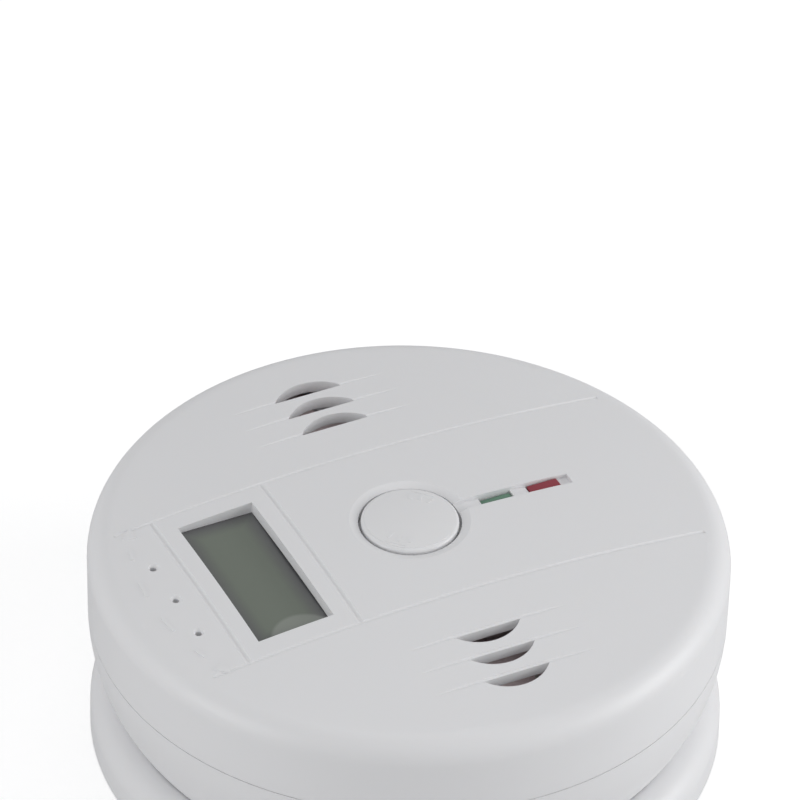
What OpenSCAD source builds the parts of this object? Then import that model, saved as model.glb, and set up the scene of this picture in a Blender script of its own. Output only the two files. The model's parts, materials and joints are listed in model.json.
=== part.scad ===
// Round battery carbon monoxide alarm with a display, a test button and a
// twist-on mounting plate. Millimetres. The origin is the centre of the
// mounting plate's back, +Z points out through the button, and +Y runs along
// the face from the display to the lights.

/* [Casing] */
// Diameter of the front cover
body_d = 100; // [100:1:130]
// Height of the face's middle above the wall
body_h = 40; // [40:1:56]
// How far the face falls from its middle to its rim
dome_rise = 3.7; // [2:0.1:6]
// Rounding between the face and the side
edge_r = 4.2; // [3.2:0.1:7]
// Wall of the front cover and of the rear housing
wall = 2; // [1.6:0.1:2.5]
// Narrowing of the side from the face down to the seam
side_draft = 0.1; // [0:0.05:0.3]
// Depth of the rear housing, from its back to the seam
rear_h = 14.9; // [14:0.1:20]
// Curve of the rear housing's side
bowl_r = 26; // [22:0.5:34]
// Gap between the front cover and the rear housing at the seam
seam_gap = 0.12; // [0.05:0.01:0.3]
// Height of the rear housing's lip inside the cover
lip_h = 2.2; // [1.5:0.1:4]
// Thickness of the rear housing's lip
lip_w = 1.3; // [1:0.1:2]
// Clearance of the lip inside the cover
lip_fit = 0.3; // [0.1:0.05:0.5]

/* [Mounting plate] */
// How far the mounting plate's edge stands in from the cover's
plate_inset = 0.4; // [0:0.1:1]
// Height of the mounting plate
plate_h = 8.2; // [7:0.1:12]
// Wall of the mounting plate
plate_wall = 2; // [1.6:0.1:2.5]
// Gap between the mounting plate and the alarm
plate_gap = 0.4; // [0.3:0.05:0.8]
// Distance between the two wall screws
wall_screw_pitch = 60; // [56:1:64]
// Width of a wall screw's slot
wall_slot_w = 4.5; // [3.5:0.1:5]
// Length of a wall screw's slot
wall_slot_l = 9; // [7:0.5:10]
// Room around a wall screw's slot for its head
wall_head_room = 3.2; // [2.5:0.1:3.5]
// Turn that frees the alarm from the plate
twist_angle = 15; // [12:1:16]
// Number of twist-lock hooks
hook_count = 3; // [2:1:3]
// Angle that a hook spans
hook_span = 8; // [6:1:9]
// Thickness of a hook's neck
hook_neck = 2; // [1.6:0.1:2.4]
// Reach of a hook's foot beyond its neck
hook_reach = 3; // [2:0.1:3.5]
// Thickness of a hook's foot
hook_foot = 1.5; // [1.2:0.1:2]
// Clearance around a hook in the plate
hook_fit = 0.3; // [0.2:0.05:0.5]

/* [Face] */
// Half width of the central strip, to the middle of its grooves
strip_half = 18.3; // [17.5:0.1:20]
// Width of the fine lines along the strip and through the vents
line_w = 0.7; // [0.4:0.05:0.8]
// Depth of the strip's lines
line_depth = 0.18; // [0.1:0.02:0.25]
// Depth of the vents' lines in their middle
vent_line_depth = 0.28; // [0.2:0.02:0.34]
// Width of the two grooves beside the window
groove_w = 0.9; // [0.6:0.05:1.1]
// Depth of those grooves
groove_depth = 0.22; // [0.15:0.01:0.3]
// Gap between the ends of the strip's lines and the rim's rounding
strip_end = 0.6; // [0.4:0.1:3]
// Width of the display window
window_w = 29.6; // [26:0.1:30]
// Height of the display window
window_h = 12.6; // [10:0.1:13]
// Distance from the centre to the middle of the window
window_y = 26.4; // [25.5:0.1:27]
// Distance between the two grooves beside the window
frame_h = 18.8; // [16:0.1:20]
// Distance of the row of pinholes from the rim
pinhole_inset = 10.2; // [9.5:0.1:11]
// Distance between pinholes
pinhole_pitch = 8.4; // [6:0.1:10]
// Diameter of a pinhole
pinhole_d = 1; // [0.8:0.1:1.4]
// Distance of the twist marks from the rim
mark_inset = 6.6; // [6:0.1:8]
// Height of the raised marks
mark_h = 0.12; // [0.08:0.02:0.4]

/* [Vents] */
// Slots in each of the two groups
vent_count = 3; // [2:1:3]
// Distance from the middle to the straight edge of the first slot
vent_x = 26.95; // [25:0.1:28]
// Distance between slots
vent_pitch = 5; // [4.6:0.1:5.4]
// Length of a slot's straight edge
vent_len = 11.4; // [8:0.1:12]
// Radius of a slot's curved edge
vent_r = 7; // [6.5:0.1:9]

/* [Test button] */
// Diameter of the test button
button_d = 15.3; // [13:0.1:18]
// Gap around the button
button_gap = 0.42; // [0.3:0.02:0.6]
// Height of the button's middle above the face
button_rise = 0.5; // [0.3:0.1:1]
// Travel of the button
button_travel = 1; // [0.8:0.1:1.2]
// Width of the flange that keeps the button in
button_flange = 1.5; // [1.2:0.1:1.8]
// Thickness of that flange
button_flange_t = 1; // [0.8:0.1:1.2]
// Wall of the button's skirt
button_skirt = 1.5; // [1.2:0.1:1.8]
// Width of the dished ring around the button
button_dish = 1.7; // [1:0.1:2]
// Depth of the dished ring
button_dish_depth = 0.5; // [0.3:0.05:0.7]
// Wire of the button's spring
button_wire_d = 0.5; // [0.4:0.05:0.6]
// Turns of the button's spring
button_turns = 4.5; // [3.5:0.5:6.5]

/* [Lights] */
// Width of the slot that the lights sit in
slot_w = 2.3; // [2.2:0.05:2.6]
// Depth of that slot
slot_depth = 0.7; // [0.4:0.05:0.9]
// Distance from the centre to the outer end of the slot
slot_end = 27.7; // [27:0.1:29]
// Distance from the centre to the middle of the green light
green_y = 15; // [14.2:0.1:15.4]
// Distance from the centre to the middle of the red light
red_y = 23.2; // [22.4:0.1:23.4]
// Width of a light
led_w = 2; // [1.8:0.05:2.1]
// Length of a light
led_l = 5.2; // [4.6:0.1:5.4]
// Gap at the ends of a light in its hole
led_gap = 0.2; // [0.1:0.05:0.4]
// Depth of the green light's top below the face
green_sink = 1; // [0.8:0.1:1.8]
// Depth of the red light's top below the face
red_sink = 0.35; // [0.3:0.05:1.4]
// Height of a light
led_h = 6; // [5:0.1:6.2]

/* [Display] */
// Width of the display's glass
glass_w = 33; // [31:0.5:34]
// Height of the display's glass
glass_h = 15.6; // [14.5:0.1:16]
// Thickness of the display's glass
glass_t = 2.2; // [1.8:0.1:2.6]
// Depth of the glass below the face's middle
glass_drop = 3; // [2.8:0.1:3.4]
// Clearance of the glass in its pocket
glass_fit = 0.2; // [0.1:0.05:0.4]
// Pins of the display
lcd_pin_count = 12; // [8:1:14]
// Distance between the display's pins
lcd_pin_pitch = 2.2; // [1.8:0.1:2.4]

/* [Circuit board] */
// Depth of the board's front below the face's middle
board_drop = 8; // [8:0.1:10]
// Thickness of the board
board_t = 1.6; // [1.2:0.1:2]
// Gap between the board's edge and the inside of the cover
board_edge = 3.4; // [2.5:0.1:5]
// Clearance of every pin in the board
pin_fit = 0.12; // [0.05:0.01:0.2]
// Diameter of the screw posts that hold the board
post_d = 5.4; // [4.6:0.1:6]
// Sideways distance from the middle to the two lower posts
post_x = 30; // [28:0.5:31]
// Distance from the middle down to the two lower posts
post_low_y = 22; // [20:0.5:24]
// Distance from the middle up to the single upper post
post_high_y = 34; // [33:0.5:36]

/* [Screws] */
// Distance of the case screws from the rim
case_screw_inset = 9; // [8.8:0.1:10]
// Direction of the first case screw
case_screw_angle = 52; // [50:1:54]
// Thread diameter of the case screws
case_screw_d = 3; // [2.6:0.1:3.2]
// Length of a case screw's thread
case_screw_l = 8; // [6:0.5:9]
// Thread diameter of the board screws
board_screw_d = 2.3; // [2:0.1:2.6]
// Length of a board screw's thread
board_screw_l = 5; // [4:0.5:5.5]
// Gap between a screw's thread and its pilot hole
pilot_fit = 0.05; // [0.02:0.01:0.1]

/* [Batteries] */
// Diameter of an AA cell
cell_d = 14.2; // [11:0.1:14.5]
// Length of an AA cell with its nub
cell_l = 50.5; // [44:0.1:50.5]
// Gap between cells
cell_gap = 0.9; // [0.6:0.1:1.2]
// Room for the springs at one end of each cell
spring_room = 6.6; // [5:0.1:7]
// Thickness of the contact plates
contact_t = 0.4; // [0.3:0.05:0.5]
// Wall of the battery bay
bay_wall = 1.5; // [1.2:0.1:1.8]
// Depth of the cells behind the housing's back
cell_inset = 0.7; // [0.5:0.1:1]

/* [Sensor and sounder] */
// Diameter of the gas sensor
sensor_d = 18; // [14:0.5:18]
// Height of the gas sensor
sensor_h = 12.4; // [9:0.1:13]
// Diameter of the sounder
sounder_d = 17; // [13:0.5:17]
// Height of the sounder
sounder_h = 11; // [8:0.1:12]
// Gap between the bay and what stands beside it
side_gap = 1.1; // [0.8:0.1:1.5]

/* [Hidden] */

$fn = 96;
eps = 0.01;
shell_white = [0.86, 0.86, 0.85];
board_brown = [0.45, 0.36, 0.35];
part_black = [0.08, 0.08, 0.08];
bare_metal = [0.75, 0.75, 0.73];

// levels along Z
back_z = plate_h + plate_gap;
seam_z = back_z + rear_h;
board_top = body_h - board_drop;
board_low = board_top - board_t;
glass_top = body_h - glass_drop;
glass_low = glass_top - glass_t;
cell_z = back_z + cell_inset + cell_d / 2;
cell_headroom = 0.35;
bay_roof = cell_z + cell_d / 2 + cell_headroom;
bay_top = bay_roof + bay_wall;

// the cover's section: a flat arc for the face, a small arc for the edge
body_r = body_d / 2;
dome_r = (body_r * body_r + dome_rise * dome_rise) / (2 * dome_rise);
dome_z = body_h - dome_r;
edge_x = body_r - edge_r;
edge_z = dome_z + sqrt(pow(dome_r - edge_r, 2) - edge_x * edge_x);
edge_touch = edge_x * dome_r / (dome_r - edge_r);
plate_r = body_r - plate_inset;
seam_r = body_r - side_draft;
bowl_x = seam_r - bowl_r;
waist_r = bowl_x + sqrt(bowl_r * bowl_r - rear_h * rear_h);
function face_z(x, y) = dome_z + sqrt(dome_r * dome_r - x * x - y * y);

// battery bay
contact_tab_w = 3;
contact_tab_up = 1.6;
wire_end_gap = 0.08;
cell_count = 3;
cell_pitch = cell_d + cell_gap;
bay_side_fit = 0.25;
bay_w = cell_count * cell_pitch + 2 * bay_side_fit;
bay_l = cell_l + spring_room + 2 * contact_t;
bay_half_w = bay_w / 2 + bay_wall;
bay_half_l = bay_l / 2 + bay_wall;

// screws and posts
case_screw_r = body_r - case_screw_inset;
case_boss_d = case_screw_d + 3.4;
case_head_d = case_screw_d + 2.4;
case_head_h = 2;
case_seat = 2;
case_boss_low = bay_top + 0.3;
case_pilot = case_screw_d / 2 + pilot_fit;
board_head_d = board_screw_d + 1.9;
board_head_h = 1.6;
board_pilot = board_screw_d / 2 + pilot_fit;
screw_fit = 0.2;
head_fit = 0.3;
screw_tip_gap = 0.5;
post_places = [[-post_x, -post_low_y], [post_x, -post_low_y], [0, post_high_y]];

// twist lock
hook_in_r = body_r - 13;
hook_out_r = hook_in_r + hook_neck;
foot_out_r = hook_out_r + hook_reach;
foot_top = plate_h - plate_wall - hook_fit;
foot_low = foot_top - hook_foot;
hook_start = 90;
hook_turn = 360 / hook_count;
hook_end_gap = 1;

// test button and its switch
button_r = button_d / 2;
button_hole_r = button_r + button_gap;
button_top = body_h + button_rise;
button_crown_r = 60;
button_fit = 0.15;
flange_r = button_r + button_flange;
flange_top = face_z(flange_r, 0) - wall - button_fit;
flange_low = flange_top - button_flange_t;
cap_under = body_h - 1.5;
switch_w = 6.2;
switch_top = board_top + 3.5;
switch_leg_r = 0.25;
plunger_r = 1.7;
plunger_fit = 0.08;
plunger_low = board_top + 1.5;
plunger_top = cap_under - 1.7;
plunger_ratio = 0.3;
stem_r = 2;
stem_gap = 0.06;
stem_low = plunger_top + button_travel * (1 - plunger_ratio) + stem_gap;
spring_r = button_r - button_skirt - 0.4 - button_wire_d / 2;

// lights
green_top = face_z(0, green_y) - green_sink;
red_top = face_z(0, red_y) - red_sink;
led_pin_pitch = 2.54;
led_leg_r = 0.25;
pin_tail = 1.2;

// display
lcd_pin_r = 0.22;
lcd_ledge = 1.4;
lcd_pin_in = 0.45;
glass_seat_gap = 0.05;

// sensor, sounder and the small parts on the board
sensor_x = bay_half_w + side_gap + sensor_d / 2;
sounder_x = -(bay_half_w + side_gap + sounder_d / 2);
sounder_y = -8;
sensor_low = board_low - sensor_h;
sounder_low = board_low - sounder_h;
sensor_pin_r = 0.4;
sensor_pin_circle = 5;
sounder_pin_r = 0.35;
sounder_pin_y = 3.8;
leg_pitch = 1.27;
chip_legs_per_side = 14;
chip_size = [18, 7.5, 2.3];
chip_at = [0, 8.2];
amp_legs_per_side = 4;
amp_size = [5, 4, 1.5];
amp_at = [12, -5];
front_capacitor_at = [sensor_x + 0.1, -4.6];
rear_capacitor_places = [[-17, 14], [-17, 22], [17, -20]];
resistor_places = [for (i = [0 : 5]) [-12 + 4.8 * i, -13]];
transistor_places = [[14, 14], [20, 14]];

// ---------------------------------------------------------------- helpers

module at_case_screws() {
  for (i = [0 : 2])
    rotate([0, 0, case_screw_angle + 120 * i])
      translate([case_screw_r, 0, 0]) children();
}

module at_hooks() {
  for (i = [0 : hook_count - 1]) rotate([0, 0, hook_start + hook_turn * i]) children();
}

module at_posts() {
  for (p = post_places) translate([p[0], p[1], 0]) children();
}

module sector(r1, r2, a1, a2, z1, z2) {
  rotate([0, 0, a1]) translate([0, 0, z1])
    rotate_extrude(angle = a2 - a1) translate([r1, 0]) square([r2 - r1, z2 - z1]);
}

module at_led_legs(y) {
  for (s = [-1, 1]) translate([0, y + s * led_pin_pitch / 2, 0]) children();
}

module at_switch_legs() {
  for (sx = [-1, 1], sy = [-1, 1])
    translate([sx * (switch_w / 2 + switch_leg_r), sy * 2.25, 0]) children();
}

module at_lcd_pins() {
  for (i = [0 : lcd_pin_count - 1])
    translate([(i - (lcd_pin_count - 1) / 2) * lcd_pin_pitch,
               -window_y + glass_h / 2 + lcd_pin_in, 0]) children();
}

module at_sensor_pins() {
  for (a = [90, 210, 330])
    translate([sensor_x, 0, 0]) rotate([0, 0, a])
      translate([sensor_pin_circle, 0, 0]) children();
}

module at_sounder_pins() {
  for (s = [-1, 1]) translate([sounder_x, sounder_y + s * sounder_pin_y, 0]) children();
}

// a round wire along a path, its rings turned square to the path
function unit(v) = v / norm(v);
function along(path, i) =
  unit(path[min(i + 1, len(path) - 1)] - path[max(i - 1, 0)]);
function ring(path, i, r, sides, ref) =
  let (t = along(path, i), u = unit(cross(t, ref)), v = cross(u, t))
  [for (k = [0 : sides - 1])
    path[i] + r * cos(360 * k / sides) * u + r * sin(360 * k / sides) * v];

module wire(path, r, sides, ref) {
  n = len(path);
  points = [for (i = [0 : n - 1]) each ring(path, i, r, sides, ref)];
  skin = [for (i = [0 : n - 2], k = [0 : sides - 1])
    let (a = i * sides + k, b = i * sides + (k + 1) % sides)
    [a, a + sides, b + sides, b]];
  ends = [[for (k = [0 : sides - 1]) k],
          [for (k = [sides - 1 : -1 : 0]) (n - 1) * sides + k]];
  polyhedron(points, concat(skin, ends), convexity = 6);
}

// a coil about Z whose radius may change from end to end
function coil(r1, r2, z1, z2, turns, steps) =
  [for (i = [0 : steps * turns])
    let (q = i / (steps * turns), r = r1 + (r2 - r1) * q, a = 360 * turns * q)
    [r * cos(a), r * sin(a), z1 + (z2 - z1) * q]];

// a wire's path: up from a tab, across in an S and up to the board
function wire_path(a, b) =
  [for (i = [0 : 20])
    let (q = i / 20, s = q * q * q * (10 - 15 * q + 6 * q * q))
    [a[0] + (b[0] - a[0]) * s, a[1] + (b[1] - a[1]) * s,
     a[2] + (b[2] - a[2]) * q]];

// -------------------------------------------------------- mounting plate

module plate_fill(inset, low) {
  shoulder = plate_r - waist_r;
  shoulder_z = plate_h - shoulder;
  intersection() {
    union() {
      translate([0, low]) square([waist_r, plate_h - inset - low]);
      translate([0, low]) square([plate_r - inset, shoulder_z - low]);
      translate([waist_r, shoulder_z]) circle(shoulder - inset);
    }
    translate([0, low]) square([body_r, plate_h - low]);
  }
}

module plate_section() {
  difference() {
    plate_fill(0, 0);
    plate_fill(plate_wall, -1);
  }
}

module slot_shape(length, width) {
  for (s = [-1, 1]) translate([s * (length - width) / 2, 0]) circle(width / 2);
  square([length - width, width], center = true);
}

module at_wall_screws() {
  for (s = [-1, 1]) translate([s * wall_screw_pitch / 2, 0, 0]) children();
}

module mounting_plate() {
  well_w = wall_slot_w + 2 * wall_head_room;
  well_l = wall_slot_l + 2 * wall_head_room;
  well_wall = 1.6;
  color(shell_white) difference() {
    union() {
      rotate_extrude() plate_section();
      at_wall_screws()
        linear_extrude(plate_h - plate_wall / 2)
          slot_shape(well_l + 2 * well_wall, well_w + 2 * well_wall);
    }
    at_wall_screws() {
      translate([0, 0, plate_wall])
        linear_extrude(plate_h) slot_shape(well_l, well_w);
      translate([0, 0, -1])
        linear_extrude(plate_h) slot_shape(wall_slot_l, wall_slot_w);
    }
    // keyholes that the hooks enter and turn in
    at_hooks() {
      sector(hook_in_r - hook_fit, hook_out_r + hook_fit,
             -hook_span / 2 - hook_end_gap, twist_angle + hook_span / 2 + hook_end_gap,
             foot_top, plate_h + 1);
      sector(hook_in_r, foot_out_r + hook_fit,
             twist_angle - hook_span / 2 - hook_end_gap / 2,
             twist_angle + hook_span / 2 + hook_end_gap / 2,
             foot_top - 1, plate_h + 2);
    }
  }
}

// ---------------------------------------------------------- rear housing

module bowl_fill(inset, low) {
  intersection() {
    union() {
      translate([bowl_x, seam_z]) circle(bowl_r - inset);
      translate([0, low]) square([bowl_x, seam_z - low]);
    }
    translate([0, low]) square([body_r, seam_z - low]);
  }
}

module rear_section() {
  lip_out = seam_r - wall - lip_fit;
  lip_root = 3;
  ledge_h = 1.4;
  difference() {
    bowl_fill(0, back_z);
    bowl_fill(wall, back_z + wall);
    translate([0, seam_z - 1]) square([seam_r - wall, 2]);
  }
  translate([lip_out - lip_w, seam_z - lip_root]) square([lip_w, lip_root + lip_h]);
  translate([lip_out - lip_w, seam_z - lip_root])
    square([lip_w + lip_fit + wall / 3, ledge_h]);
}

module bay_ribs() {
  rib_end = 8;
  for (i = [1 : cell_count - 1])
    translate([(i - cell_count / 2) * cell_pitch, bay_l / 2 - rib_end, bay_roof + eps])
      rotate([90, 0, 0]) linear_extrude(bay_l - 2 * rib_end)
        polygon([[-2, 0], [2, 0], [0.4, -2.6], [-0.4, -2.6]]);
}

module rear_housing() {
  tab_slot_w = contact_tab_w + 0.6;
  pocket_d = case_head_d + 2 * head_fit;
  pocket_wall = 1.1;
  color(shell_white) union() {
    difference() {
      union() {
        rotate_extrude() rear_section();
        translate([-bay_half_w, -bay_half_l, back_z])
          cube([2 * bay_half_w, 2 * bay_half_l, bay_top - back_z]);
        at_case_screws()
          translate([0, 0, back_z])
            cylinder(d = pocket_d + 2 * pocket_wall,
                     h = case_boss_low - back_z - seam_gap);
      }
      translate([-bay_w / 2, -bay_l / 2, back_z - 1])
        cube([bay_w, bay_l, bay_roof - back_z + 1]);
      at_case_screws() {
        translate([0, 0, back_z - 1])
          cylinder(d = pocket_d, h = case_boss_low - case_seat - back_z + 1);
        translate([0, 0, back_z])
          cylinder(d = case_screw_d + 2 * screw_fit, h = case_boss_low - back_z);
      }
      // slots for the contacts' tabs
      for (s = [-1, 1])
        translate([s * cell_pitch - tab_slot_w / 2, s * (bay_l / 2 - 0.5) - 0.5,
                   bay_roof - 1])
          cube([tab_slot_w, 1, bay_wall + 2]);
    }
    bay_ribs();
    at_hooks() {
      sector(hook_in_r, hook_out_r, -hook_span / 2, hook_span / 2,
             foot_low, back_z + wall / 4);
      sector(hook_in_r, foot_out_r, -hook_span / 2, hook_span / 2,
             foot_low, foot_top);
    }
  }
}

// ----------------------------------------------------------- front cover

module cover_fill(inset, low) {
  intersection() {
    translate([0, dome_z]) circle(dome_r - inset, $fn = 360);
    translate([0, low]) square([edge_touch - inset * edge_x / dome_r, body_h]);
  }
  polygon([[0, low], [seam_r - inset, low], [body_r - inset, edge_z],
           [0, edge_z]]);
  translate([edge_x, edge_z]) circle(edge_r - inset + eps);
}

module cover_section() {
  difference() {
    cover_fill(0, seam_z + seam_gap);
    cover_fill(wall, seam_z - 1);
  }
}

// the space between two skins, each a given height above the face
module skin(low, high, r1, r2) {
  rotate_extrude() intersection() {
    translate([0, dome_z]) difference() {
      circle(dome_r + high, $fn = 360);
      circle(dome_r + low, $fn = 360);
    }
    translate([r1, board_top]) square([r2 - r1, body_h]);
  }
}

module vent_hole() {
  inner = sqrt(vent_r * vent_r - vent_len * vent_len / 4);
  intersection() {
    translate([-inner, 0]) circle(vent_r);
    translate([0, -vent_len]) square([vent_len, 2 * vent_len]);
  }
}

module at_vents() {
  for (s = [0, 180], i = [0 : vent_count - 1])
    rotate([0, 0, s]) translate([vent_x + i * vent_pitch, 0, 0]) children();
}

function cove_r(w, depth) = (w * w / 4 + depth * depth) / (2 * depth);

// a shallow rounded groove along Y at x, out to reach each way. Its floor is an
// arc about the dome's own centre, so it is as deep everywhere.
module cove_ring(x, w, depth, reach) {
  r = cove_r(w, depth);
  floor_r = sqrt(dome_r * dome_r - x * x) - depth;
  half_turn = asin(reach / floor_r);
  translate([x, 0, dome_z]) rotate([0, -90, 0])
    rotate([0, 0, -half_turn]) rotate_extrude(angle = 2 * half_turn, $fn = 1440)
      translate([floor_r + r, 0]) circle(r, $fn = 32);
}

module strip_lines() {
  reach = sqrt(pow(edge_touch - strip_end, 2) - strip_half * strip_half);
  for (s = [-1, 1]) cove_ring(s * strip_half, line_w, line_depth, reach);
}

module window_grooves() {
  for (s = [-1, 1])
    rotate([0, 0, 90])
      cove_ring(-window_y + s * frame_h / 2, groove_w, groove_depth, strip_half);
}

// straight cuts along the vents, which run out where the dome falls away
module vent_lines() {
  r = cove_r(line_w, vent_line_depth);
  for (s = [0, 180], i = [0 : vent_count - 1])
    rotate([0, 0, s])
      translate([vent_x + i * vent_pitch, body_r / 2,
                 face_z(vent_x + i * vent_pitch, 0) - vent_line_depth + r])
        rotate([90, 0, 0]) cylinder(r = r, h = body_r, $fn = 32);
}

module arrow(turn) {
  rotate([0, 0, turn]) polygon([[-1.3, -1.1], [1.3, 0], [-1.3, 1.1]]);
}

module mark_bars() {
  r = body_r - mark_inset;
  for (a = [-17, -6, 6, 17])
    rotate([0, 0, -90 + a]) translate([r, 0])
      square([0.5, abs(a) > 10 ? 2.2 : 3.6], center = true);
  for (s = [-1, 1])
    rotate([0, 0, -90 + s * 24]) translate([r, 0]) arrow(s * 90);
}

// the bare cover: its revolved wall, screw bosses and board posts. The wall's
// seam is turned to where nothing is cut.
module cover_shell() {
  rotate([0, 0, 45]) rotate_extrude() cover_section();
  intersection() {
    union() {
      at_case_screws() translate([0, 0, case_boss_low])
        cylinder(d = case_boss_d, h = body_h);
      at_posts() translate([0, 0, board_top]) cylinder(d = post_d, h = body_h);
    }
    rotate_extrude() cover_fill(wall / 2, case_boss_low - 1);
  }
}

module vented_shell() {
  difference() {
    cover_shell();
    at_vents() translate([0, 0, board_top]) linear_extrude(body_h) vent_hole();
    // pilot holes of the screws
    at_case_screws() translate([0, 0, case_boss_low - 1])
      cylinder(r = case_pilot, h = case_screw_l + 1);
    at_posts() translate([0, 0, board_top - 1])
      cylinder(r = board_pilot, h = board_screw_l - board_t + 1);
  }
}

module grooved_shell() {
  difference() {
    vented_shell();
    strip_lines();
    window_grooves();
    vent_lines();
  }
}

module window_cut() {
  seat_z = glass_top + glass_seat_gap;
  translate([-window_w / 2, -window_y - window_h / 2, board_top])
    cube([window_w, window_h, body_h]);
  translate([-glass_w / 2 - glass_fit, -window_y - glass_h / 2 - glass_fit, board_top])
    cube([glass_w + 2 * glass_fit, glass_h + 2 * glass_fit, seat_z - board_top]);
}

// the button's hole, opening into a shallow dished ring
module button_cut() {
  above = 0.2;
  dish_low = body_h - button_dish_depth - 0.1;
  dish_r = button_hole_r + button_dish + 0.7;
  rotate([0, 0, 45]) rotate_extrude()
    polygon([[0, board_top], [button_hole_r, board_top], [button_hole_r, dish_low],
             [dish_r, body_h + above], [0, body_h + above]]);
}

module light_cut() {
  led_hole_l = led_l + 2 * led_gap;
  intersection() {
    skin(-slot_depth, 2, button_hole_r - 1, slot_end + 5);
    translate([-slot_w / 2, 0, board_top]) cube([slot_w, slot_end, body_h]);
  }
  for (y = [green_y, red_y])
    translate([-slot_w / 2, y - led_hole_l / 2, board_top])
      cube([slot_w, led_hole_l, body_h]);
}

module pinhole_cut() {
  sink = 0.8;
  for (i = [-1, 0, 1])
    translate([i * pinhole_pitch, -(body_r - pinhole_inset), 0]) {
      translate([0, 0, board_top]) cylinder(d = pinhole_d, h = body_h, $fn = 32);
      translate([0, 0, face_z(i * pinhole_pitch, body_r - pinhole_inset) - sink / 2])
        cylinder(d1 = pinhole_d, d2 = pinhole_d + 2 * sink, h = sink, $fn = 32);
    }
}

module front_cover() {
  color(shell_white) {
    difference() {
      grooved_shell();
      window_cut();
      button_cut();
      light_cut();
      pinhole_cut();
    }
    // raised twist marks
    intersection() {
      skin(-0.2, mark_h, body_r - mark_inset - 3, edge_x);
      translate([0, 0, board_top]) linear_extrude(body_h) mark_bars();
    }
  }
}

// ------------------------------------------------------------------ screws

module case_screws() {
  head_low = case_boss_low - seam_gap - case_seat - case_head_h;
  color(bare_metal) at_case_screws() translate([0, 0, head_low]) difference() {
    union() {
      cylinder(d = case_head_d, h = case_head_h);
      cylinder(d = case_screw_d,
               h = case_head_h + case_seat + case_screw_l - 3 * screw_tip_gap);
    }
    for (a = [0, 90])
      rotate([0, 0, a]) translate([-1.7, -0.4, -eps]) cube([3.4, 0.8, 1.1]);
  }
}

module board_screws() {
  color(bare_metal) at_posts() translate([0, 0, board_low - board_head_h]) difference() {
    union() {
      cylinder(d = board_head_d, h = board_head_h);
      cylinder(d = board_screw_d, h = board_head_h + board_screw_l - screw_tip_gap);
    }
    for (a = [0, 90])
      rotate([0, 0, a]) translate([-1.3, -0.35, -eps]) cube([2.6, 0.7, 0.9]);
  }
}

// ----------------------------------------------------------- circuit board

module pin_hole(r) {
  cylinder(r = r + pin_fit, h = board_t + 2, $fn = 16);
}

module circuit_board() {
  notch_w = case_boss_d + 1.2;
  color(board_brown) translate([0, 0, board_low]) difference() {
    cylinder(r = body_r - wall - board_edge, h = board_t);
    translate([0, 0, -1]) {
      at_case_screws() {
        cylinder(d = notch_w, h = board_t + 2);
        translate([0, -notch_w / 2, 0]) cube([notch_w, notch_w, board_t + 2]);
      }
      at_posts() cylinder(d = board_screw_d + 2 * screw_fit, h = board_t + 2, $fn = 32);
      at_led_legs(green_y) pin_hole(led_leg_r);
      at_led_legs(red_y) pin_hole(led_leg_r);
      at_switch_legs() pin_hole(switch_leg_r);
      at_lcd_pins() pin_hole(lcd_pin_r);
      at_sensor_pins() pin_hole(sensor_pin_r);
      at_sounder_pins() pin_hole(sounder_pin_r);
    }
  }
}

// ----------------------------------------------------------------- display

module lcd_glass() {
  color([0.33, 0.35, 0.31]) translate([-glass_w / 2, -window_y - glass_h / 2, glass_low])
    difference() {
      cube([glass_w, glass_h, glass_t]);
      translate([-1, glass_h - lcd_ledge, -1])
        cube([glass_w + 2, lcd_ledge + 1, glass_t / 2 + 1]);
    }
}

module lcd_backlight() {
  gap = 0.05;
  color([0.9, 0.92, 0.88]) translate([-glass_w / 2, -window_y - glass_h / 2, board_top])
    cube([glass_w, glass_h - lcd_ledge - 0.2, glass_low - board_top - gap]);
}

module lcd_pins() {
  color(bare_metal) at_lcd_pins() {
    translate([0, 0, board_low - pin_tail])
      cylinder(r = lcd_pin_r, h = glass_low + glass_t / 2 - board_low + pin_tail,
               $fn = 16);
    translate([-0.3, -lcd_ledge, glass_low + glass_t / 2 - 0.35])
      cube([0.6, lcd_ledge + 0.1, 0.3]);
  }
}

// ------------------------------------------------------------------ lights

module light(top) {
  foot_h = 1.2;
  translate([-led_w / 2, -led_l / 2, top - led_h]) cube([led_w, led_l, led_h]);
  translate([-led_w / 2 - 0.4, -led_l / 2 - 0.3, top - led_h])
    cube([led_w + 0.8, led_l + 0.6, foot_h]);
}

module green_led() {
  color([0.20, 0.42, 0.30]) translate([0, green_y, 0]) light(green_top);
}

module red_led() {
  color([0.60, 0.20, 0.24]) translate([0, red_y, 0]) light(red_top);
}

module led_legs() {
  color(bare_metal) for (led = [[green_y, green_top], [red_y, red_top]])
    at_led_legs(led[0]) translate([0, 0, board_low - pin_tail])
      cylinder(r = led_leg_r, h = led[1] - led_h - board_low + pin_tail, $fn = 16);
}

// ------------------------------------------------------------- test button

module button_section() {
  round = 0.6;
  rim_top = button_top - 0.5;
  intersection() {
    translate([0, button_top - button_crown_r]) circle(button_crown_r, $fn = 360);
    union() {
      translate([0, cap_under]) square([button_r - round, button_top - cap_under]);
      translate([0, cap_under]) square([button_r, rim_top - round - cap_under]);
      translate([button_r - round, rim_top - round]) circle(round);
    }
  }
  translate([button_r - button_skirt, flange_low])
    square([button_skirt, cap_under - flange_low + eps]);
  translate([button_r - button_skirt, flange_low])
    square([button_skirt + button_flange, button_flange_t]);
  translate([0, stem_low]) square([stem_r, cap_under - stem_low + eps]);
}

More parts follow.
